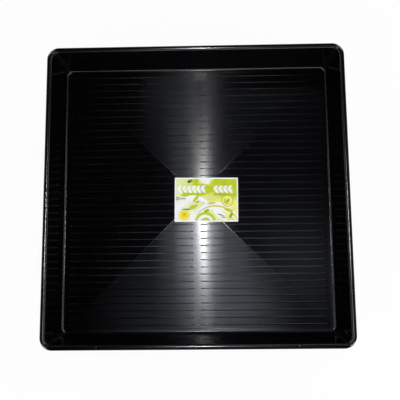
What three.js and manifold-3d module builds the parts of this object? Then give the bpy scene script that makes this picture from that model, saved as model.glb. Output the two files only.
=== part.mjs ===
// Square garden drip tray with a printed label, in millimetres with +Z up.
// The tray is one plastic sheet drawn over a mould.
// It has a crowned and ribbed floor, leaning walls and a rolled rim.
// The label is stuck across the ribs near the middle of the floor.
// The origin is the centre of the plane that the tray stands on.
import * as THREE from 'three';
import { mergeVertices } from 'three/addons/utils/BufferGeometryUtils.js';
import Module from 'manifold-3d';

// Tray: overall sizes and the sheet
const TRAY_SIDE = 1000;
const TRAY_HEIGHT = 120;
const SHEET = 2.5;

// Rolled rim: a half-round arch with a short straight skirt outside
const RIM_RADIUS = 9;
const SKIRT_DROP = 9;
const RIM_CORNER_RADIUS = 40;

// Shallow nicks across the top of the rim, two on each side
const NICK_SPREAD = 630;
const NICK_DEPTH = 0.8;
const NICK_RADIUS = 16;
const NICK_OVERHANG = 1;

// Floor: a flat gutter round a four-sided crown that sheds water towards the walls
const FLOOR_INSET = 47.5;
const FLOOR_CORNER_RADIUS = 20;
const FLOOR_FILLET = 6;
const GUTTER_WIDTH = 10;
const CROWN_RISE = 14;

// Ribs in rows along X, broken by a plain channel down the middle
const RIB_PITCH = 24;
const RIB_WIDTH = 4.2;
const RIB_CREST = 1;
const RIB_HEIGHT = 0.9;
const RIB_END_MARGIN = 5;
const RIB_END_RAMP = 6;
const CHANNEL_WIDTH = 25;

// Dents on the underside where the sheet was drawn up into the ribs
const DENT_WIDTH = 3;
const DENT_CREST = 1;
const DENT_DEPTH = 0.6;

// Label: stuck on the rib crests, off centre and slightly turned
const LABEL_LENGTH = 217;
const LABEL_WIDTH = 152;
const LABEL_THICKNESS = 0.4;
const LABEL_GAP = 0.3;
const LABEL_X = 32.5;
const LABEL_Y = -11.5;
const LABEL_TURN = THREE.MathUtils.degToRad(-0.5);

// Facets on round stretches
const CORNER_STEPS = 9;
const RIM_STEPS = 5;
const FILLET_STEPS = 4;
const NICK_SIDES = 72;

// Places worked out from the sizes above
const half = TRAY_SIDE / 2;
const rimCentre = { across: half - RIM_RADIUS, up: TRAY_HEIGHT - RIM_RADIUS };
const floorHalf = half - FLOOR_INSET;
const filletCentre = { across: floorHalf, up: SHEET + FLOOR_FILLET };
const crownHalf = floorHalf - GUTTER_WIDTH;
const rimCornerCentre = half - RIM_CORNER_RADIUS;
const floorCornerCentre = floorHalf + FLOOR_FILLET - FLOOR_CORNER_RADIUS;
const ribEnd = crownHalf - RIB_END_MARGIN;
const ribRowsEachSide = Math.floor((ribEnd - RIB_WIDTH / 2) / RIB_PITCH);

// How far a bar reaches past the skin that it joins or cuts
const bite = SHEET / 3;

// The wall is the straight line that runs tangent to the floor fillet and to the rim's arch
const run = rimCentre.across - filletCentre.across;
const climb = rimCentre.up - filletCentre.up;
const wallLean = Math.atan2(run, climb) - Math.asin((FLOOR_FILLET + RIM_RADIUS) / Math.hypot(run, climb));

const wasm = await Module();
wasm.setup();

/** Height of the crowned floor's upper skin above a point in plan. */
function crownHeight(x, y) {
  const outward = Math.max(Math.abs(x), Math.abs(y)) / crownHalf;
  return SHEET + CROWN_RISE * (1 - outward);
}

/** Ring of points round a square at one height. Corners are round, or sharp where no radius fits. */
function squareRing(halfSide, cornerCentre, height) {
  const radius = Math.max(halfSide - cornerCentre, 0);
  const ring = [];
  for (let quarter = 0; quarter < 4; quarter += 1) {
    const start = (quarter * Math.PI) / 2;
    const centreX = (halfSide - radius) * Math.sign(Math.cos(start + Math.PI / 4));
    const centreY = (halfSide - radius) * Math.sign(Math.sin(start + Math.PI / 4));
    for (let step = 0; step <= CORNER_STEPS; step += 1) {
      const angle = start + ((step / CORNER_STEPS) * Math.PI) / 2;
      const x = centreX + radius * Math.cos(angle);
      const y = centreY + radius * Math.sin(angle);
      ring.push(new THREE.Vector3(x, y, height));
    }
  }
  return ring;
}

/** Closed surface through a chain of rings, with each end drawn to a tip. */
function loft(rings, firstTip, lastTip) {
  const count = rings[0].length;
  const lastStart = (rings.length - 1) * count;
  const first = rings.length * count;
  const last = first + 1;
  const triangles = [];
  for (let i = 0; i < count; i += 1) {
    const next = (i + 1) % count;
    triangles.push(first, i, next);
    triangles.push(last, lastStart + next, lastStart + i);
    for (let ring = 0; ring < rings.length - 1; ring += 1) {
      const here = ring * count;
      const beyond = here + count;
      triangles.push(here + i, beyond + i, beyond + next);
      triangles.push(here + i, beyond + next, here + next);
    }
  }
  const geometry = new THREE.BufferGeometry().setFromPoints([...rings.flat(), firstTip, lastTip]);
  geometry.setIndex(triangles);
  return geometry;
}

/** Solid for joins and cuts, from a closed geometry. Triangles lost at sharp corners are left out. */
function solid(geometry) {
  const bare = geometry.clone();
  bare.deleteAttribute('normal');
  bare.deleteAttribute('uv');
  const merged = mergeVertices(bare);
  const index = merged.index.array;
  const triangles = [];
  for (let i = 0; i < index.length; i += 3) {
    const [a, b, c] = [index[i], index[i + 1], index[i + 2]];
    if (a !== b && b !== c && c !== a) {
      triangles.push(a, b, c);
    }
  }
  const mesh = new wasm.Mesh({
    numProp: 3,
    vertProperties: new Float32Array(merged.attributes.position.array),
    triVerts: new Uint32Array(triangles),
  });
  return new wasm.Manifold(mesh);
}

/** Geometry from a solid, with normals for display. */
function geometryOf(body) {
  const mesh = body.getMesh();
  const geometry = new THREE.BufferGeometry();
  geometry.setAttribute('position', new THREE.BufferAttribute(mesh.vertProperties, 3));
  geometry.setIndex(new THREE.BufferAttribute(mesh.triVerts, 1));
  geometry.computeVertexNormals();
  return geometry;
}

/** Points along an arc of the tray's section, each with the corner centre that its ring turns about. */
function sectionArc(centre, radius, from, to, steps, cornerCentre) {
  const points = [];
  for (let step = 0; step <= steps; step += 1) {
    const angle = THREE.MathUtils.lerp(from, to, step / steps);
    const across = centre.across + radius * Math.cos(angle);
    const up = centre.up + radius * Math.sin(angle);
    points.push({ across, up, cornerCentre });
  }
  return points;
}

/** Half-round arch of the rim's section, from the wall to the skirt, with a point at the very top. */
function rimArch(radius) {
  const top = Math.PI / 2;
  const inner = sectionArc(rimCentre, radius, Math.PI - wallLean, top, RIM_STEPS, rimCornerCentre);
  const outer = sectionArc(rimCentre, radius, top, 0, RIM_STEPS, rimCornerCentre);
  return [...inner, ...outer.slice(1)];
}

/** Plain tray: the sheet's section taken round the square, with a crown closing it above and below. */
function plainTray() {
  const down = -Math.PI / 2;
  const skirtEdge = rimCentre.up - SKIRT_DROP;
  const section = [
    { across: crownHalf, up: SHEET, cornerCentre: crownHalf },
    ...sectionArc(filletCentre, FLOOR_FILLET, down, -wallLean, FILLET_STEPS, floorCornerCentre),
    ...rimArch(RIM_RADIUS),
    { across: half, up: skirtEdge, cornerCentre: rimCornerCentre },
    { across: half - SHEET, up: skirtEdge, cornerCentre: rimCornerCentre },
    ...rimArch(RIM_RADIUS - SHEET).reverse(),
    ...sectionArc(filletCentre, FLOOR_FILLET + SHEET, -wallLean, down, FILLET_STEPS, floorCornerCentre),
    { across: crownHalf, up: 0, cornerCentre: crownHalf },
  ];
  const rings = section.map((point) => squareRing(point.across, point.cornerCentre, point.up));
  const upperTip = new THREE.Vector3(0, 0, crownHeight(0, 0));
  const lowerTip = new THREE.Vector3(0, 0, crownHeight(0, 0) - SHEET);
  return solid(loft(rings, upperTip, lowerTip));
}

/** Bar along X beside the channel, following the crown, with drafted flanks and ends that ramp down. */
function crownBar(y, side, skin, width, crest, height) {
  const lowWidth = width + ((width - crest) * bite) / height;
  const start = CHANNEL_WIDTH / 2;
  const stations = [
    { x: start, top: -bite / 2 },
    { x: start + RIB_END_RAMP, top: height },
    { x: ribEnd - RIB_END_RAMP, top: height },
    { x: ribEnd, top: -bite / 2 },
  ];
  const bend = Math.abs(y);
  if (bend > start + RIB_END_RAMP && bend < ribEnd - RIB_END_RAMP) {
    stations.splice(2, 0, { x: bend, top: height });
  }
  const rings = stations.map(({ x, top }) => {
    const along = side * x;
    const corner = (across, up) => {
      const base = crownHeight(along, y + across) + skin;
      return new THREE.Vector3(along, y + across, base + up);
    };
    const section = [
      corner(-lowWidth / 2, -bite),
      corner(lowWidth / 2, -bite),
      corner(crest / 2, top),
      corner(-crest / 2, top),
    ];
    return side > 0 ? section.reverse() : section;
  });
  const middle = (ring) => {
    const sum = ring.reduce((total, point) => total.add(point), new THREE.Vector3());
    return sum.divideScalar(ring.length);
  };
  return solid(loft(rings, middle(rings[0]), middle(rings[rings.length - 1])));
}

/** Roller that presses one shallow nick across the top of the rim on the +X side. */
function nickRoller(y) {
  const length = 2 * (RIM_RADIUS + NICK_OVERHANG);
  const roller = new THREE.CylinderGeometry(NICK_RADIUS, NICK_RADIUS, length, NICK_SIDES);
  roller.rotateZ(Math.PI / 2);
  roller.translate(rimCentre.across, y, TRAY_HEIGHT - NICK_DEPTH + NICK_RADIUS);
  return roller;
}

/** Finished tray: ribs raised on the crown, dents under them, and nicks in the rim. */
function trayGeometry() {
  let body = plainTray();
  for (let row = -ribRowsEachSide; row <= ribRowsEachSide; row += 1) {
    const y = row * RIB_PITCH;
    for (const side of [-1, 1]) {
      body = body.add(crownBar(y, side, 0, RIB_WIDTH, RIB_CREST, RIB_HEIGHT));
      body = body.subtract(crownBar(y, side, -SHEET, DENT_WIDTH, DENT_CREST, DENT_DEPTH));
    }
  }
  for (let quarter = 0; quarter < 4; quarter += 1) {
    for (const y of [-NICK_SPREAD / 2, NICK_SPREAD / 2]) {
      const roller = nickRoller(y).rotateZ((quarter * Math.PI) / 2);
      body = body.subtract(solid(roller));
    }
  }
  return geometryOf(body);
}

/** Label: a layer of even thickness over the rib crests, cut to the label's outline. */
function labelGeometry() {
  const under = RIB_HEIGHT + LABEL_GAP;
  const over = under + LABEL_THICKNESS;
  const layerRing = (lift) => squareRing(crownHalf, crownHalf, SHEET + lift);
  const layerTip = (lift) => new THREE.Vector3(0, 0, crownHeight(0, 0) + lift);
  const layer = solid(loft([layerRing(over), layerRing(under)], layerTip(over), layerTip(under)));
  const outline = new THREE.BoxGeometry(LABEL_LENGTH, LABEL_WIDTH, TRAY_HEIGHT);
  outline.rotateZ(LABEL_TURN);
  outline.translate(LABEL_X, LABEL_Y, 0);
  return geometryOf(layer.intersect(solid(outline)));
}

/** Named mesh with its own finish. */
function piece(name, geometry, finish) {
  const mesh = new THREE.Mesh(geometry, new THREE.MeshStandardMaterial(finish));
  mesh.name = name;
  return mesh;
}

const dripTray = new THREE.Group();
dripTray.add(piece('tray', trayGeometry(), { color: 0x0d0d0e, roughness: 0.35, metalness: 0 }));
dripTray.add(piece('label', labelGeometry(), { color: 0xb9c94a, roughness: 0.5, metalness: 0 }));

export default dripTray;
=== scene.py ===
import math

import bmesh
import bpy
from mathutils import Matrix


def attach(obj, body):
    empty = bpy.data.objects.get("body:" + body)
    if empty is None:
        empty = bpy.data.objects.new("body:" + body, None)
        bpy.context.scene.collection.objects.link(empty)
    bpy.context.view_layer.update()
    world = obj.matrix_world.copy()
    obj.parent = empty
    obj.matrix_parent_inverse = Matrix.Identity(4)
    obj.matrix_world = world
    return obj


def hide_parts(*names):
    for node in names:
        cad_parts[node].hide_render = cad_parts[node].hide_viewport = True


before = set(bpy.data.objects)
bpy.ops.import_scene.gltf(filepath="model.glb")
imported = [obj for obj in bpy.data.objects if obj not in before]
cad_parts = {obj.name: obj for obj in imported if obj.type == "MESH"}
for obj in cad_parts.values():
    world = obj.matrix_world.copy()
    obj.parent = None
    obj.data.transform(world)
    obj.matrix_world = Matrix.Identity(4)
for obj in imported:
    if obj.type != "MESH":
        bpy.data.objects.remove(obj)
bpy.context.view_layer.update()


# Tray
# One sheet of black plastic, warmed and drawn by vacuum over a square mould. Its floor is crowned, so that
# water runs out to a flat gutter, and ribbed, so that pots stand clear of the wet. The rim is rolled over
# and ends in a short skirt that fingers hook under.
tray_half = 0.5
tray_height = 0.120
sheet = 0.0025
rim_radius = 0.009
rim_middle = tray_half - rim_radius
rim_level = tray_height - rim_radius
rim_corner = 0.040
rim_corner_middle = tray_half - rim_corner
skirt_drop = 0.009
floor_half = 0.4525
floor_corner_middle = 0.4385
fillet_radius = 0.006
fillet_level = sheet + fillet_radius
gutter_half = 0.4475
crown_half = 0.4425
crown_rise = 0.014
rib_pitch = 0.024
rib_rows = 18
channel_half = 0.0125
rib_end = 0.4375
rib_profile = ((0.0, 0.0009), (0.00036, 0.0009), (0.00046, 0.000877), (0.00052, 0.000842), (0.00188, 0.0000577),
               (0.00194, 0.0000231), (0.00204, 0.0), (0.0025, 0.0))
rib_ramp = ((0.0, 0.0), (0.0012, 0.1), (0.0026, 0.42), (0.0042, 0.8), (0.0060, 0.97), (0.0072, 1.0))
crease_half = 0.0017
crease_rise = 0.00006
nick_spread = 0.315
nick_depth = 0.0008
nick_radius = 0.016
nick_lines = (-0.0075, -0.0056, -0.004, -0.0022, 0.0, 0.0022, 0.004, 0.0056, 0.0075)
nick_inset = 0.001
wall_line = 0.003
skirt_edge_round = 0.0006
skirt_edge_turn = math.radians(60)
smooth_turn = math.radians(35)

# Points closer than these count as one place, on faces, on crease and sag lines, on rib lines and in merging.
near = 0.0001
line_near = 0.00005
rib_near = 0.00002
same_place = 0.00001


def select_where(piece, kind, test):
    """Selects what passes a test in edit mode. The test gets each part and its middle point."""
    bpy.ops.mesh.select_mode(type=kind)
    bpy.ops.mesh.select_all(action="DESELECT")
    shape = bmesh.from_edit_mesh(piece.data)
    if kind == "VERT":
        chosen = [part for part in shape.verts if test(part, part.co)]
    elif kind == "EDGE":
        chosen = [part for part in shape.edges if test(part, (part.verts[0].co + part.verts[1].co) / 2)]
    else:
        chosen = [part for part in shape.faces if test(part, part.calc_center_median())]
    for part in chosen:
        part.select_set(True)
    shape.select_flush_mode()
    bmesh.update_edit_mesh(piece.data)


def new_plane(name, size, level):
    """Flat square at its level, with its place in its mesh, left in edit mode."""
    bpy.ops.object.select_all(action="DESELECT")
    bpy.ops.mesh.primitive_plane_add(size=size, location=(0, 0, level))
    bpy.ops.object.transform_apply(location=True, rotation=True, scale=True)
    piece = bpy.context.object
    piece.name = name
    bpy.ops.object.mode_set(mode="EDIT")
    bpy.ops.mesh.select_all(action="SELECT")
    return piece


def section_arc(middle, level, radius, start, stop, steps):
    """Places (half side, level) along an arc of the tray's section, with angles in degrees."""
    places = []
    for step in range(steps + 1):
        angle = math.radians(start + (stop - start) * step / steps)
        places.append((middle + radius * math.cos(angle), level + radius * math.sin(angle)))
    return places


def inset_along(places):
    """Insets the selected face from place to place."""
    for (half, level), (next_half, next_level) in zip(places, places[1:]):
        bpy.ops.mesh.inset(thickness=half - next_half, depth=next_level - level,
                           use_even_offset=True, use_boundary=True)


def cut_lines(axis, places):
    """Cuts every face of the piece in edit mode along lines square to an axis."""
    normal = (1, 0, 0) if axis == "X" else (0, 1, 0)
    for place in places:
        bpy.ops.mesh.select_all(action="SELECT")
        bpy.ops.mesh.bisect(plane_co=tuple(place * part for part in normal), plane_no=normal,
                            threshold=same_place)


# The wall touches the rim's arch and the floor's fillet, so its lean follows from the two.
rim_to_floor = (rim_middle - floor_half, rim_level - fillet_level)
touch_turn = math.asin((rim_radius + fillet_radius) / math.hypot(*rim_to_floor))
lean = math.degrees(math.atan2(*rim_to_floor) - touch_turn)
rim_outside = section_arc(rim_middle, rim_level, rim_radius, 0, 90, 12)
rim_inside = section_arc(rim_middle, rim_level, rim_radius, 90, 180 - lean, 11)
fillet = section_arc(floor_half, fillet_level, fillet_radius, -lean, -90, 10)
wall_head = rim_inside[-1]
wall_foot = fillet[0]

# Skirt, rolled rim, wall and fillet are drawn inwards from a square with round corners.
tray = new_plane("tray_sheet", 2 * tray_half, rim_level - skirt_drop)
bpy.ops.mesh.bevel(offset=rim_corner, offset_type="OFFSET", segments=20, profile=0.5, affect="VERTICES")
bpy.ops.mesh.select_all(action="SELECT")
bpy.ops.mesh.extrude_region_move(TRANSFORM_OT_translate={"value": (0, 0, skirt_drop)})
select_where(tray, "FACE", lambda face, place: place.z < rim_level - skirt_drop + near)
bpy.ops.mesh.delete(type="ONLY_FACE")
select_where(tray, "FACE", lambda face, place: place.z > rim_level - near)
inset_along(rim_outside + rim_inside[1:])
bpy.ops.mesh.extrude_region_move(TRANSFORM_OT_translate={"value": (0, 0, wall_foot[1] - wall_head[1])})
corner_shrink = (wall_foot[0] - floor_corner_middle) / (wall_head[0] - rim_corner_middle)
corner_shift = rim_corner_middle - floor_corner_middle
for side_x in (-1, 1):
    for side_y in (-1, 1):
        select_where(tray, "VERT", lambda vertex, place: abs(place.z - wall_foot[1]) < near
                     and place.x * side_x > 0 and place.y * side_y > 0)
        bpy.ops.transform.resize(value=(corner_shrink, corner_shrink, 1.0), center_override=(
            side_x * rim_corner_middle, side_y * rim_corner_middle, wall_foot[1]))
        bpy.ops.transform.translate(value=(-side_x * corner_shift, -side_y * corner_shift, 0))
select_where(tray, "FACE", lambda face, place: abs(place.z - wall_foot[1]) < near)
inset_along(fillet + [(gutter_half, sheet)])
bpy.ops.mesh.delete(type="ONLY_FACE")
for level in (wall_head[1] - wall_line, wall_foot[1] + wall_line):
    select_where(tray, "FACE", lambda face, place: wall_foot[1] < place.z < wall_head[1])
    bpy.ops.mesh.bisect(plane_co=(0, 0, level), plane_no=(0, 0, 1))

# Two shallow nicks across the top of each run of the rim, pressed where the clamp held the sheet.
for turn in range(4):
    outward = (round(math.cos(turn * math.pi / 2)), round(math.sin(turn * math.pi / 2)))
    run = (-outward[1], outward[0])
    for nick in (-nick_spread, nick_spread):
        for line in nick_lines:
            select_where(tray, "FACE", lambda face, place: place.z > rim_level - skirt_drop
                         and place.x * outward[0] + place.y * outward[1] > wall_head[0] - nick_inset)
            bpy.ops.mesh.bisect(plane_co=((nick + line) * run[0], (nick + line) * run[1], 0),
                                plane_no=(run[0], run[1], 0))
        for line in nick_lines:
            level = tray_height - nick_depth + nick_radius - math.sqrt(nick_radius ** 2 - line ** 2)
            select_where(tray, "VERT", lambda vertex, place: place.z > level
                         and place.x * outward[0] + place.y * outward[1] > wall_head[0]
                         and abs(place.x * run[0] + place.y * run[1] - nick - line) < near)
            bpy.ops.transform.resize(value=(1, 1, 0), center_override=(0, 0, level))

bpy.ops.object.mode_set(mode="OBJECT")
wall_thickness = tray.modifiers.new("Sheet", "SOLIDIFY")
wall_thickness.thickness = sheet
wall_thickness.offset = -1.0
wall_thickness.use_even_offset = True
wall_thickness.use_rim = False
bpy.ops.object.modifier_apply(modifier=wall_thickness.name)

# The crown is a square drawn up at its middle, with ribs raised along X on both sides of a plain channel.
crown = new_plane("crown", 2 * crown_half, sheet)
bpy.ops.mesh.poke(offset=crown_rise, use_relative_offset=False)
for slant in (-1, 1):
    for aside in (-crease_half, crease_half):
        bpy.ops.mesh.select_all(action="SELECT")
        bpy.ops.mesh.bisect(plane_co=(aside, 0, 0), plane_no=(1, slant, 0))
select_where(crown, "VERT", lambda vertex, place: abs(abs(place.x) - abs(place.y)) < line_near)
bpy.ops.transform.translate(value=(0, 0, crease_rise))
rib_lines = sorted({line for offset, _ in rib_profile for line in (-offset, offset)})
cut_lines("Y", [row * rib_pitch + line for row in range(-rib_rows, rib_rows + 1) for line in rib_lines])
ramp_steps = [-rib_ramp[1][0]] + [offset for offset, _ in rib_ramp]
ramp_lines = [channel_half + offset for offset in ramp_steps] + [rib_end - offset for offset in ramp_steps]
cut_lines("X", [side * line for side in (-1, 1) for line in ramp_lines])
for offset, height in rib_profile:
    if height > 0:
        for ramp, share in rib_ramp[1:]:
            last = ramp == rib_ramp[-1][0]

            def on_rib(vertex, place):
                """Whether a point lies on this line of a rib and this step of its end ramps."""
                row = round(place.y / rib_pitch)
                from_end = min(abs(place.x) - channel_half, rib_end - abs(place.x))
                on_step = from_end > ramp - near if last else abs(from_end - ramp) < near
                return on_step and abs(abs(place.y - row * rib_pitch) - offset) < rib_near

            select_where(crown, "VERT", on_rib)
            bpy.ops.transform.translate(value=(0, 0, height * share))

# The underside has the same creases and rib hollows, one sheet lower.
bpy.ops.mesh.select_all(action="SELECT")
bpy.ops.mesh.duplicate_move(TRANSFORM_OT_translate={"value": (0, 0, -sheet)})
bpy.ops.mesh.flip_normals()
bpy.ops.object.mode_set(mode="OBJECT")

bpy.ops.object.select_all(action="DESELECT")
crown.select_set(True)
tray.select_set(True)
bpy.context.view_layer.objects.active = tray
bpy.ops.object.join()
bpy.ops.object.mode_set(mode="EDIT")
for level in (sheet, 0.0):
    select_where(tray, "EDGE", lambda edge, place: edge.is_boundary and abs(place.z - level) < 2 * near)
    bpy.ops.mesh.fill(use_beauty=True)
select_where(tray, "EDGE", lambda edge, place: edge.is_boundary and place.z > tray_height / 2)
bpy.ops.mesh.bridge_edge_loops()
bpy.ops.mesh.select_all(action="SELECT")
bpy.ops.mesh.remove_doubles(threshold=same_place)
bpy.ops.mesh.normals_make_consistent(inside=False)
select_where(tray, "EDGE", lambda edge, place: abs(place.z - rim_level + skirt_drop) < near
             and abs(edge.verts[0].co.z - edge.verts[1].co.z) < near
             and edge.calc_face_angle(0) > skirt_edge_turn)
bpy.ops.mesh.bevel(offset=skirt_edge_round, segments=3, affect="EDGES")


def is_crease(edge, place):
    """Whether an edge lies on a crease of the crown, along one side of its ridge, or along the crown's foot."""
    reach = max(abs(place.x), abs(place.y))
    from_crease = abs(abs(place.x) - abs(place.y))
    return reach < crown_half + near and (
        from_crease < line_near or abs(from_crease - crease_half) < line_near or reach > crown_half - near)


select_where(tray, "EDGE", is_crease)
bpy.ops.mesh.mark_sharp()
bpy.ops.object.mode_set(mode="OBJECT")
bpy.ops.object.shade_smooth_by_angle(angle=smooth_turn)

# The map's first axis follows the sheet's draw lines, which cross the ribs less than a degree off square.
draw_turn = math.radians(-0.4)
draw_map = tray.data.uv_layers.new(name="Draw")
for corner in tray.data.loops:
    place = tray.data.vertices[corner.vertex_index].co
    along = place.y + math.copysign(place.z, place.y)
    beside = place.x + math.copysign(place.z, place.x)
    draw_map.data[corner.index].uv = (along * math.cos(draw_turn) - beside * math.sin(draw_turn),
                                      along * math.sin(draw_turn) + beside * math.cos(draw_turn))


def new_material(name):
    """Material with all its nodes cleared, ready for new ones."""
    material = bpy.data.materials.new(name)
    material.use_nodes = True
    material.node_tree.nodes.clear()
    return material


def add(owner, kind, values=None, **settings):
    """Adds a node to a material, a lamp or the sky. Values are numbers, or sockets that are linked in."""
    made = owner.node_tree.nodes.new("ShaderNode" + kind)
    for setting, choice in settings.items():
        setattr(made, setting, choice)
    for socket, value in (values or {}).items():
        if isinstance(value, bpy.types.NodeSocket):
            owner.node_tree.links.new(value, made.inputs[socket])
        else:
            made.inputs[socket].default_value = value
    return made


plastic = new_material("black_drawn_sheet")
places = add(plastic, "TexCoord").outputs["Object"]
swell = add(plastic, "TexNoise", {"Vector": places, "Scale": 9.0, "Detail": 2.0, "Roughness": 0.5})
clouding = add(plastic, "TexNoise", {"Vector": places, "Scale": 30.0, "Detail": 4.0, "Roughness": 0.6})
grain = add(plastic, "TexNoise", {"Vector": places, "Scale": 900.0, "Detail": 2.0, "Roughness": 0.5})
scuff_places = add(plastic, "Mapping", {"Vector": places, "Rotation": (0, 0, 0.4), "Scale": (14.0, 260.0, 40.0)})
scuffs = add(plastic, "TexNoise", {"Vector": scuff_places.outputs[0], "Scale": 1.0, "Detail": 3.0,
                                   "Roughness": 0.7})
scuffed = add(plastic, "MapRange", {"Value": scuffs.outputs["Fac"], "From Min": 0.62, "From Max": 0.8,
                                    "To Min": 0.0, "To Max": 1.0})
tone = add(plastic, "ValToRGB", {"Fac": clouding.outputs["Fac"]})
tone.color_ramp.elements[0].position = 0.35
tone.color_ramp.elements[0].color = (0.0004, 0.00045, 0.0006, 1)
tone.color_ramp.elements[1].position = 0.75
tone.color_ramp.elements[1].color = (0.0011, 0.00115, 0.0014, 1)
gloss = add(plastic, "MapRange", {"Value": clouding.outputs["Fac"], "From Min": 0.3, "From Max": 0.7,
                                  "To Min": 0.15, "To Max": 0.164})
worn_gloss = add(plastic, "Math", {0: scuffed.outputs[0], 1: 0.03, 2: gloss.outputs[0]}, operation="MULTIPLY_ADD")
waves = add(plastic, "Bump", {"Strength": 1.0, "Distance": 0.00003, "Height": swell.outputs["Fac"]})
texture = add(plastic, "Bump", {"Strength": 1.0, "Distance": 0.000001, "Height": grain.outputs["Fac"],
                                "Normal": waves.outputs[0]})
draw_lines = add(plastic, "Tangent", direction_type="UV_MAP", uv_map="Draw")
sheet_axes = add(plastic, "SeparateXYZ", {0: places})
reaches = [add(plastic, "Math", {0: axis}, operation="ABSOLUTE").outputs[0] for axis in sheet_axes.outputs[:2]]
from_middle = add(plastic, "Math", {0: reaches[0], 1: reaches[1]}, operation="MAXIMUM").outputs[0]
drawn = add(plastic, "MapRange", {"Value": from_middle, "From Min": gutter_half, "From Max": floor_half,
                                  "To Min": 1.0, "To Max": 0.0}).outputs[0]
streak_places = add(plastic, "Mapping", {"Vector": places, "Scale": (7.0, 170.0, 40.0)})
streaks = add(plastic, "TexNoise", {"Vector": streak_places.outputs[0], "Scale": 1.0, "Detail": 4.0,
                                    "Roughness": 0.65})
shine = add(plastic, "MapRange", {"Value": streaks.outputs["Fac"], "From Min": 0.3, "From Max": 0.7,
                                  "To Min": 0.41, "To Max": 0.59}).outputs[0]

# Out from the floor the shine drops on the walls, rises by the crest of the rim and is lost on its outside.
# Each row says where a change starts, where it ends, and its share.
wall_shine = 0.55
crest_shine = 4.2
outside_shine = 0.03
shine_steps = ((floor_half + 0.004, floor_half + 0.010, wall_shine),
               (rim_middle - 0.006, rim_middle - 0.003, crest_shine),
               (rim_middle - 0.0022, rim_middle + 0.0013, outside_shine))
for start, end, share in shine_steps:
    step = add(plastic, "MapRange", {"Value": from_middle, "From Min": start, "From Max": end,
                                     "To Min": 1.0, "To Max": share}).outputs[0]
    shine = add(plastic, "Math", {0: shine, 1: step}, operation="MULTIPLY").outputs[0]
plastic_shader = add(plastic, "BsdfPrincipled", {
    "Base Color": tone.outputs[0], "Roughness": worn_gloss.outputs[0], "IOR": 1.5, "Specular IOR Level": shine,
    "Anisotropic": drawn, "Normal": texture.outputs[0], "Tangent": draw_lines.outputs[0]})
add(plastic, "OutputMaterial", {"Surface": plastic_shader.outputs[0]})
tray.data.materials.append(plastic)
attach(tray, "root")
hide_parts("tray")


# Label
# One coated paper label, printed in greens and yellow with a white border, and stuck by its back across the
# crests of the ribs near the middle of the floor. It bends with the crown and sags a little between the ribs.
label_length = 0.217
label_width = 0.152
label_place = (0.0325, -0.0115)
label_turn = math.radians(-0.5)
label_corner = 0.0015
label_paper = 0.0004
glue = 0.0003
label_sags = ((0.003, 0.00002), (0.006, 0.00012), (0.009, 0.00022), (0.012, 0.00026))
label_rows = range(-4, 4)

label = new_plane("paper_label", 2 * crown_half, sheet + rib_profile[0][1] + glue)
bpy.ops.mesh.poke(offset=crown_rise, use_relative_offset=False)
for reach, turn in ((label_length, 0.0), (label_width, 90.0), (label_length, 180.0), (label_width, 270.0)):
    heading = label_turn + math.radians(turn)
    outward = (math.cos(heading), math.sin(heading), 0)
    bpy.ops.mesh.select_all(action="SELECT")
    edge_place = [middle + part * reach / 2 for middle, part in zip(label_place, outward)]
    bpy.ops.mesh.bisect(plane_co=(*edge_place, 0), plane_no=outward, clear_outer=True)


def is_label_corner(vertex, place):
    """Whether a point is one of the label's four corners."""
    x, y = place.x - label_place[0], place.y - label_place[1]
    along = x * math.cos(label_turn) + y * math.sin(label_turn)
    beside = y * math.cos(label_turn) - x * math.sin(label_turn)
    return abs(along) > label_length / 2 - near and abs(beside) > label_width / 2 - near


select_where(label, "VERT", is_label_corner)
bpy.ops.mesh.bevel(offset=label_corner, offset_type="OFFSET", segments=5, profile=0.5, affect="VERTICES")
sag_lines = sorted({line for offset, _ in label_sags for line in (-offset, offset)} | {0.0})
cut_lines("Y", [row * rib_pitch + line for row in label_rows for line in sag_lines[1:]])
for offset, sag in label_sags:
    select_where(label, "VERT", lambda vertex, place: abs(
        abs(place.y - round(place.y / rib_pitch) * rib_pitch) - offset) < line_near)
    bpy.ops.transform.translate(value=(0, 0, -sag))
bpy.ops.mesh.select_all(action="SELECT")
bpy.ops.mesh.normals_make_consistent(inside=False)
if bmesh.from_edit_mesh(label.data).faces[:][0].normal.z < 0:
    bpy.ops.mesh.flip_normals()
bpy.ops.object.mode_set(mode="OBJECT")
paper_thickness = label.modifiers.new("Paper", "SOLIDIFY")
paper_thickness.thickness = label_paper
paper_thickness.offset = 1.0
bpy.ops.object.modifier_apply(modifier=paper_thickness.name)
bpy.ops.object.shade_smooth_by_angle(angle=smooth_turn)

paper = new_material("printed_paper")
paper_places = add(paper, "TexCoord").outputs["Object"]
on_label = add(paper, "Mapping", {"Vector": paper_places, "Location": (*label_place, 0),
                                  "Rotation": (0, 0, label_turn)}, vector_type="TEXTURE")
print_places = add(paper, "VectorMath", {0: on_label.outputs[0], 1: (1, 1, 0)}, operation="MULTIPLY").outputs[0]
print_axes = add(paper, "SeparateXYZ", {0: print_places})
print_u, print_v = print_axes.outputs[0], print_axes.outputs[1]


def sums(operation, *values):
    """One math node on numbers or sockets."""
    return add(paper, "Math", dict(enumerate(values)), operation=operation).outputs[0]


def within(value, edge, soft=0.0004):
    """Mask that is 1 where a value is below an edge."""
    return add(paper, "MapRange", {"Value": value, "From Min": edge - soft, "From Max": edge + soft,
                                   "To Min": 1.0, "To Max": 0.0}).outputs[0]


def disc(x, y, radius, soft=0.0004):
    """Mask of a round spot."""
    distance = add(paper, "VectorMath", {0: print_places, 1: (x, y, 0)}, operation="DISTANCE").outputs["Value"]
    return within(distance, radius, soft)


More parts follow.
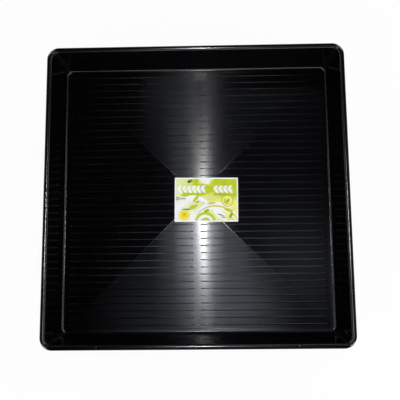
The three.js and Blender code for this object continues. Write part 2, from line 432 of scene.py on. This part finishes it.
def leaf(x, y, length, width, turn):
    """Mask of a leaf, where two round spots overlap."""
    radius = (length ** 2 + width ** 2) / (4 * width)
    gap = radius - width / 2
    heading = math.radians(turn)
    side = (-math.sin(heading) * gap, math.cos(heading) * gap)
    return sums("MINIMUM", disc(x + side[0], y + side[1], radius), disc(x - side[0], y - side[1], radius))


def band(level, half_width, start, stop, swing=0.0, pitch=0.19, phase=0.0):
    """Mask of a band from start to stop, straight or waving about its level."""
    angle = sums("MULTIPLY_ADD", print_u, 2 * math.pi / pitch, phase)
    line = sums("MULTIPLY_ADD", sums("SINE", angle), swing, level)
    across_band = within(sums("ABSOLUTE", sums("SUBTRACT", print_v, line)), half_width)
    along_band = within(sums("ABSOLUTE", sums("SUBTRACT", print_u, (start + stop) / 2)), (stop - start) / 2)
    return sums("MULTIPLY", across_band, along_band)


def paint(under, colour, mask):
    """Lays one ink over what is printed already."""
    mix_inputs = {0: mask, 6: under, 7: colour}
    return add(paper, "Mix", mix_inputs, data_type="RGBA").outputs[2]


def crescent(x, y, radius, shift_x, shift_y):
    """Mask of a round spot without the part that a shifted one covers."""
    return sums("MULTIPLY", disc(x, y, radius), sums("SUBTRACT", 1.0, disc(x + shift_x, y + shift_y, radius)))


paper_white = (0.91, 0.91, 0.88, 1)
cream = (0.87, 0.85, 0.2, 1)
pale_lime = (0.69, 0.73, 0.06, 1)
lime = (0.5, 0.6, 0.004, 1)
olive = (0.3, 0.36, 0.01, 1)
leaf_green = (0.13, 0.27, 0.012, 1)
deep_green = (0.025, 0.075, 0.01, 1)
sun_yellow = (0.86, 0.74, 0.015, 1)
amber = (0.78, 0.45, 0.015, 1)
ink_grey = (0.06, 0.07, 0.06, 1)

# Spots, leaves and bands are placed from the label's middle, each laid over what comes before it.
border = 0.0045
vine_level = 0.036
vine_half = 0.0012
vine_runs = ((-0.1, -0.002), (0.024, 0.09))
vine_places = (-0.092, -0.076, -0.06, -0.044, -0.028, -0.012, 0.032, 0.048, 0.064, 0.08)
vine_leaf = (0.02, 0.0095)
vine_leaf_turn = 42
vine_leaf_offset = 0.0065
vine_leaf_shift = 0.003
line_half = 0.0013
line_length = 0.014
slope = sums("MULTIPLY_ADD", print_v, 0.9, print_u)
field = add(paper, "MapRange", {"Value": slope, "From Min": -0.17, "From Max": 0.06,
                                "To Min": 0.1, "To Max": 1.0}).outputs[0]
ink = paint(paper_white, pale_lime, field)
ink = paint(ink, cream, disc(0.075, -0.03, 0.05, 0.02))
ink = paint(ink, paper_white, disc(0.0, 0.078, 0.024, 0.004))
ink = paint(ink, lime, disc(0.062, 0.052, 0.046, 0.009))
ink = paint(ink, lime, disc(0.1, 0.034, 0.03, 0.008))
ink = paint(ink, lime, leaf(-0.03, 0.034, 0.13, 0.042, 2))
ink = paint(ink, pale_lime, leaf(-0.058, 0.038, 0.07, 0.03, -6))
for start, stop in vine_runs:
    ink = paint(ink, paper_white, band(vine_level, vine_half, start, stop))
for place in vine_places:
    above, below = vine_level + vine_leaf_offset, vine_level - vine_leaf_offset
    ink = paint(ink, paper_white, leaf(place, above, *vine_leaf, vine_leaf_turn))
    ink = paint(ink, paper_white, leaf(place + vine_leaf_shift, below, *vine_leaf, -vine_leaf_turn))
ink = paint(ink, olive, band(0.016, line_half, 0.024, 0.078, swing=0.002, phase=0.9))
ink = paint(ink, leaf_green, leaf(-0.056, 0.064, 0.024, 0.011, 25))
ink = paint(ink, deep_green, leaf(-0.06, 0.062, 0.012, 0.006, 100))
ink = paint(ink, lime, disc(-0.038, 0.064, 0.011))
ink = paint(ink, lime, leaf(-0.068, 0.017, 0.04, 0.014, 6))
ink = paint(ink, paper_white, crescent(-0.045, -0.055, 0.07, 0.012, -0.02))
ink = paint(ink, deep_green, disc(-0.098, 0.004, 0.0055))
ink = paint(ink, paper_white, disc(-0.098, 0.004, 0.003))
ink = paint(ink, leaf_green, band(0.003, 0.0016, -0.09, -0.07))
ink = paint(ink, lime, leaf(-0.036, 0.003, 0.034, 0.011, 52))
ink = paint(ink, olive, leaf(-0.03, -0.008, 0.016, 0.005, 30))
ink = paint(ink, lime, leaf(-0.046, -0.026, 0.04, 0.013, 24))
ink = paint(ink, paper_white, crescent(0.03, -0.088, 0.08, 0.004, -0.012))
ink = paint(ink, olive, crescent(0.03, -0.1, 0.08, 0.0, -0.0022))
ink = paint(ink, lime, leaf(0.018, -0.013, 0.034, 0.007, 6))
ink = paint(ink, paper_white, crescent(0.03, -0.106, 0.08, 0.002, -0.009))
ink = paint(ink, olive, disc(0.072, -0.004, 0.02))
ink = paint(ink, cream, disc(0.072, -0.004, 0.0182))
ink = paint(ink, lime, crescent(0.072, -0.004, 0.0125, 0.005, 0.003))
ink = paint(ink, olive, leaf(0.073, -0.004, 0.017, 0.008, 62))
ink = paint(ink, leaf_green, leaf(-0.07, -0.034, 0.034, 0.006, 2))
ink = paint(ink, paper_white, disc(-0.044, -0.062, 0.016, 0.006))
ink = paint(ink, lime, disc(-0.004, -0.078, 0.036))
ink = paint(ink, paper_white, disc(-0.004, -0.08, 0.028))
ink = paint(ink, lime, disc(-0.002, -0.082, 0.02))
ink = paint(ink, olive, leaf(0.001, -0.038, 0.022, 0.008, 20))
ink = paint(ink, sun_yellow, disc(-0.076, -0.054, 0.018, 0.004))
ink = paint(ink, amber, disc(-0.076, -0.052, 0.006, 0.003))
ink = paint(ink, paper_white, leaf(0.046, -0.05, 0.06, 0.026, -38))
for level, stop in ((-0.051, 0.053), (-0.056, 0.061), (-0.061, 0.066)):
    ink = paint(ink, ink_grey, band(level, line_half, stop - line_length, stop))
ink = paint(ink, lime, leaf(0.076, -0.036, 0.034, 0.012, -12))
ink = paint(ink, olive, leaf(0.084, -0.054, 0.026, 0.01, 68))
border_u = within(sums("ABSOLUTE", print_u), label_length / 2 - border)
border_v = within(sums("ABSOLUTE", print_v), label_width / 2 - border)
ink = paint(paper_white, ink, sums("MULTIPLY", border_u, border_v))
fibres = add(paper, "TexNoise", {"Vector": paper_places, "Scale": 700.0, "Detail": 3.0, "Roughness": 0.6})
screen = add(paper, "TexNoise", {"Vector": paper_places, "Scale": 90.0, "Detail": 3.0, "Roughness": 0.6})
uneven = add(paper, "MapRange", {"Value": screen.outputs["Fac"], "From Min": 0.3, "From Max": 0.7,
                                 "To Min": 0.95, "To Max": 1.04}).outputs[0]
shaded_ink = add(paper, "HueSaturation", {"Color": ink, "Value": uneven})
coating = add(paper, "MapRange", {"Value": fibres.outputs["Fac"], "From Min": 0.3, "From Max": 0.7,
                                  "To Min": 0.42, "To Max": 0.52}).outputs[0]
paper_grain = add(paper, "Bump", {"Strength": 1.0, "Distance": 0.00002, "Height": fibres.outputs["Fac"]})
paper_shader = add(paper, "BsdfPrincipled", {"Base Color": shaded_ink.outputs[0], "Roughness": coating,
                                             "IOR": 1.45, "Specular IOR Level": 0.25,
                                             "Normal": paper_grain.outputs[0]})
add(paper, "OutputMaterial", {"Surface": paper_shader.outputs[0]})
label.data.materials.append(paper)
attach(label, "root")
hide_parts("label")


# Studio floor
# A wide sheet of pale studio paper on flat ground, with a sky that is white along the horizon and dark overhead,
# so that every side of the tray is seen against white and its floor mirrors the dark.
floor_radius = 40.0
floor_glow = 0.94
sky_low = (0.945, 0.945, 0.945, 1)
sky_high = (0.012, 0.012, 0.013, 1)
bpy.ops.object.select_all(action="DESELECT")
bpy.ops.mesh.primitive_circle_add(vertices=96, radius=floor_radius, fill_type="NGON", location=(0, 0, 0))
studio = bpy.context.object
studio.name = "studio_floor"
backdrop_paper = new_material("studio_paper")
studio_places = add(backdrop_paper, "TexCoord").outputs["Object"]
tooth = add(backdrop_paper, "TexNoise", {"Vector": studio_places, "Scale": 3.0, "Detail": 3.0})
paper_tone = add(backdrop_paper, "ValToRGB", {"Fac": tooth.outputs["Fac"]})
paper_tone.color_ramp.elements[0].color = (0.88, 0.88, 0.88, 1)
paper_tone.color_ramp.elements[1].color = (0.92, 0.92, 0.92, 1)
matt = add(backdrop_paper, "BsdfDiffuse", {"Color": paper_tone.outputs[0]})
white_glow = add(backdrop_paper, "Emission", {"Color": (1, 1, 1, 1), "Strength": 1.0})
rays = add(backdrop_paper, "LightPath")
seen = rays.outputs["Is Camera Ray"]
for kind in ("Is Glossy Ray", "Is Transmission Ray"):
    seen = add(backdrop_paper, "Math", {0: seen, 1: rays.outputs[kind]}, operation="ADD").outputs[0]
glow_share = add(backdrop_paper, "Math", {0: seen, 1: floor_glow}, operation="MULTIPLY", use_clamp=True)
white_floor = add(backdrop_paper, "MixShader", {0: glow_share.outputs[0], 1: matt.outputs[0],
                                                2: white_glow.outputs[0]})
add(backdrop_paper, "OutputMaterial", {"Surface": white_floor.outputs[0]})
studio.data.materials.append(backdrop_paper)

sky = bpy.data.worlds.new("studio_air")
sky.use_nodes = True
heights = add(sky, "SeparateXYZ", {0: add(sky, "TexCoord").outputs["Generated"]})
fade = add(sky, "ValToRGB", {"Fac": heights.outputs["Z"]})
fade.color_ramp.interpolation = "EASE"
fade.color_ramp.elements[0].position = 0.1
fade.color_ramp.elements[0].color = sky_low
fade.color_ramp.elements[1].position = 0.25
fade.color_ramp.elements[1].color = sky_high
sky.node_tree.links.new(fade.outputs["Color"], sky.node_tree.nodes["Background"].inputs["Color"])
bpy.context.scene.world = sky


# Lights
# A long thin lamp overhead draws the bright streak along the tray's floor, and soft boxes around it give the
# glow on both sides. Low boxes in front and one behind light the flanks of the ribs, and low boxes at the sides
# and corners light the label and edge the rim.
def soft_box(name, place, size, watts, bell=(0.5, 0.5), colour=(1, 1, 1), aim=None):
    """Area lamp facing a point or straight down, brightest in its middle as a cloth-fronted box is."""
    bpy.ops.object.select_all(action="DESELECT")
    bpy.ops.object.light_add(type="AREA", location=place)
    lamp = bpy.context.object
    lamp.name = name
    lamp.data.shape = "RECTANGLE"
    lamp.data.size, lamp.data.size_y = size
    lamp.data.energy = watts
    lamp.data.color = colour
    if aim:
        towards = [goal - start for goal, start in zip(aim, place)]
        aside = math.hypot(towards[0], towards[1])
        lamp.rotation_euler = (math.atan2(aside, -towards[2]), 0, math.atan2(-towards[0], towards[1]))
    lamp.data.use_nodes = True

    def lamp_sums(operation, first, second):
        """One math node of the lamp on numbers or sockets."""
        return add(lamp.data, "Math", {0: first, 1: second}, operation=operation).outputs[0]

    cloth = add(lamp.data, "NewGeometry").outputs["Parametric"]
    shares = []
    for place_on, power in zip(add(lamp.data, "SeparateXYZ", {0: cloth}).outputs, bell):
        hump = lamp_sums("MULTIPLY", place_on, lamp_sums("SUBTRACT", 1.0, place_on))
        shares.append(lamp_sums("POWER", lamp_sums("MULTIPLY", hump, 4.0), power))
    strength = lamp.data.node_tree.nodes["Emission"].inputs["Strength"]
    lamp.data.node_tree.links.new(lamp_sums("MULTIPLY", *shares), strength)


cool = (0.82, 0.87, 1.0)
tray_middle = (0, 0, 0)
soft_box("streak_lamp", (-0.012, 0.1, 1.93), (0.044, 1.5), 26.0, (0.5, 5.5))
soft_box("tail_box", (0.22, -0.58, 2.05), (0.9, 0.22), 2.2, (2.0, 0.3), cool)
soft_box("haze_box", (0.8, -0.28, 2.1), (0.65, 0.6), 0.7, (0.8, 0.5), cool)
soft_box("halo_box", (-0.035, -0.1, 2.05), (0.38, 0.32), 6.2, (1.0, 0.5), cool)
soft_box("core_box", (0.0, -0.1, 2.05), (0.68, 0.5), 3.4, (0.8, 0.5), cool)
soft_box("glow_box", (-0.02, -0.6, 2.1), (2.0, 0.28), 2.6, (3.0, 0.3), cool)
soft_box("mid_box", (-0.14, 0.65, 2.05), (0.25, 0.7), 0.4, (0.7, 0.5), cool)
soft_box("far_box", (-0.18, 1.35, 2.1), (0.6, 1.2), 0.7, (0.7, 0.5), cool)
soft_box("front_box", (0.26, -2.75, 1.25), (2.9, 0.6), 31.0, (0.6, 0.4), cool, aim=(0.15, -0.2, 0))
soft_box("front_low_box", (0.2, -3.0, 0.9), (2.2, 0.5), 30.0, aim=tray_middle)
soft_box("back_box", (0.45, 2.2, 1.85), (1.9, 0.55), 10.0, (0.6, 0.4), cool, aim=(0.2, -0.3, 0))
soft_box("left_box", (-2.7, 0.0, 1.1), (2.6, 0.7), 28.0, aim=tray_middle)
soft_box("right_box", (2.7, 0.0, 1.1), (2.6, 0.7), 42.0, aim=tray_middle)
for side_x in (-1, 1):
    for side_y in (-1, 1):
        soft_box("corner_box", (2.0 * side_x, 2.0 * side_y, 1.1), (1.4, 0.7), 28.0, aim=tray_middle)


# Camera
# It looks almost straight down, from nearly two metres above the front half of the tray, as the photograph does.
# Its place and turn come from a fit to the rim, the floor's edge and the ribs.
camera_place = (0.0494, -0.2720, 1.9231)
camera_turn = tuple(math.radians(turn) for turn in (7.728, 1.241, -0.558))
bpy.ops.object.select_all(action="DESELECT")
bpy.ops.object.camera_add(location=camera_place, rotation=camera_turn)
camera = bpy.context.object
camera.name = "photo_camera"
camera.data.sensor_width = 36.0
camera.data.lens = 50.61
camera.data.clip_end = 50.0
bpy.context.scene.camera = camera
bpy.context.scene.view_settings.view_transform = "Standard"
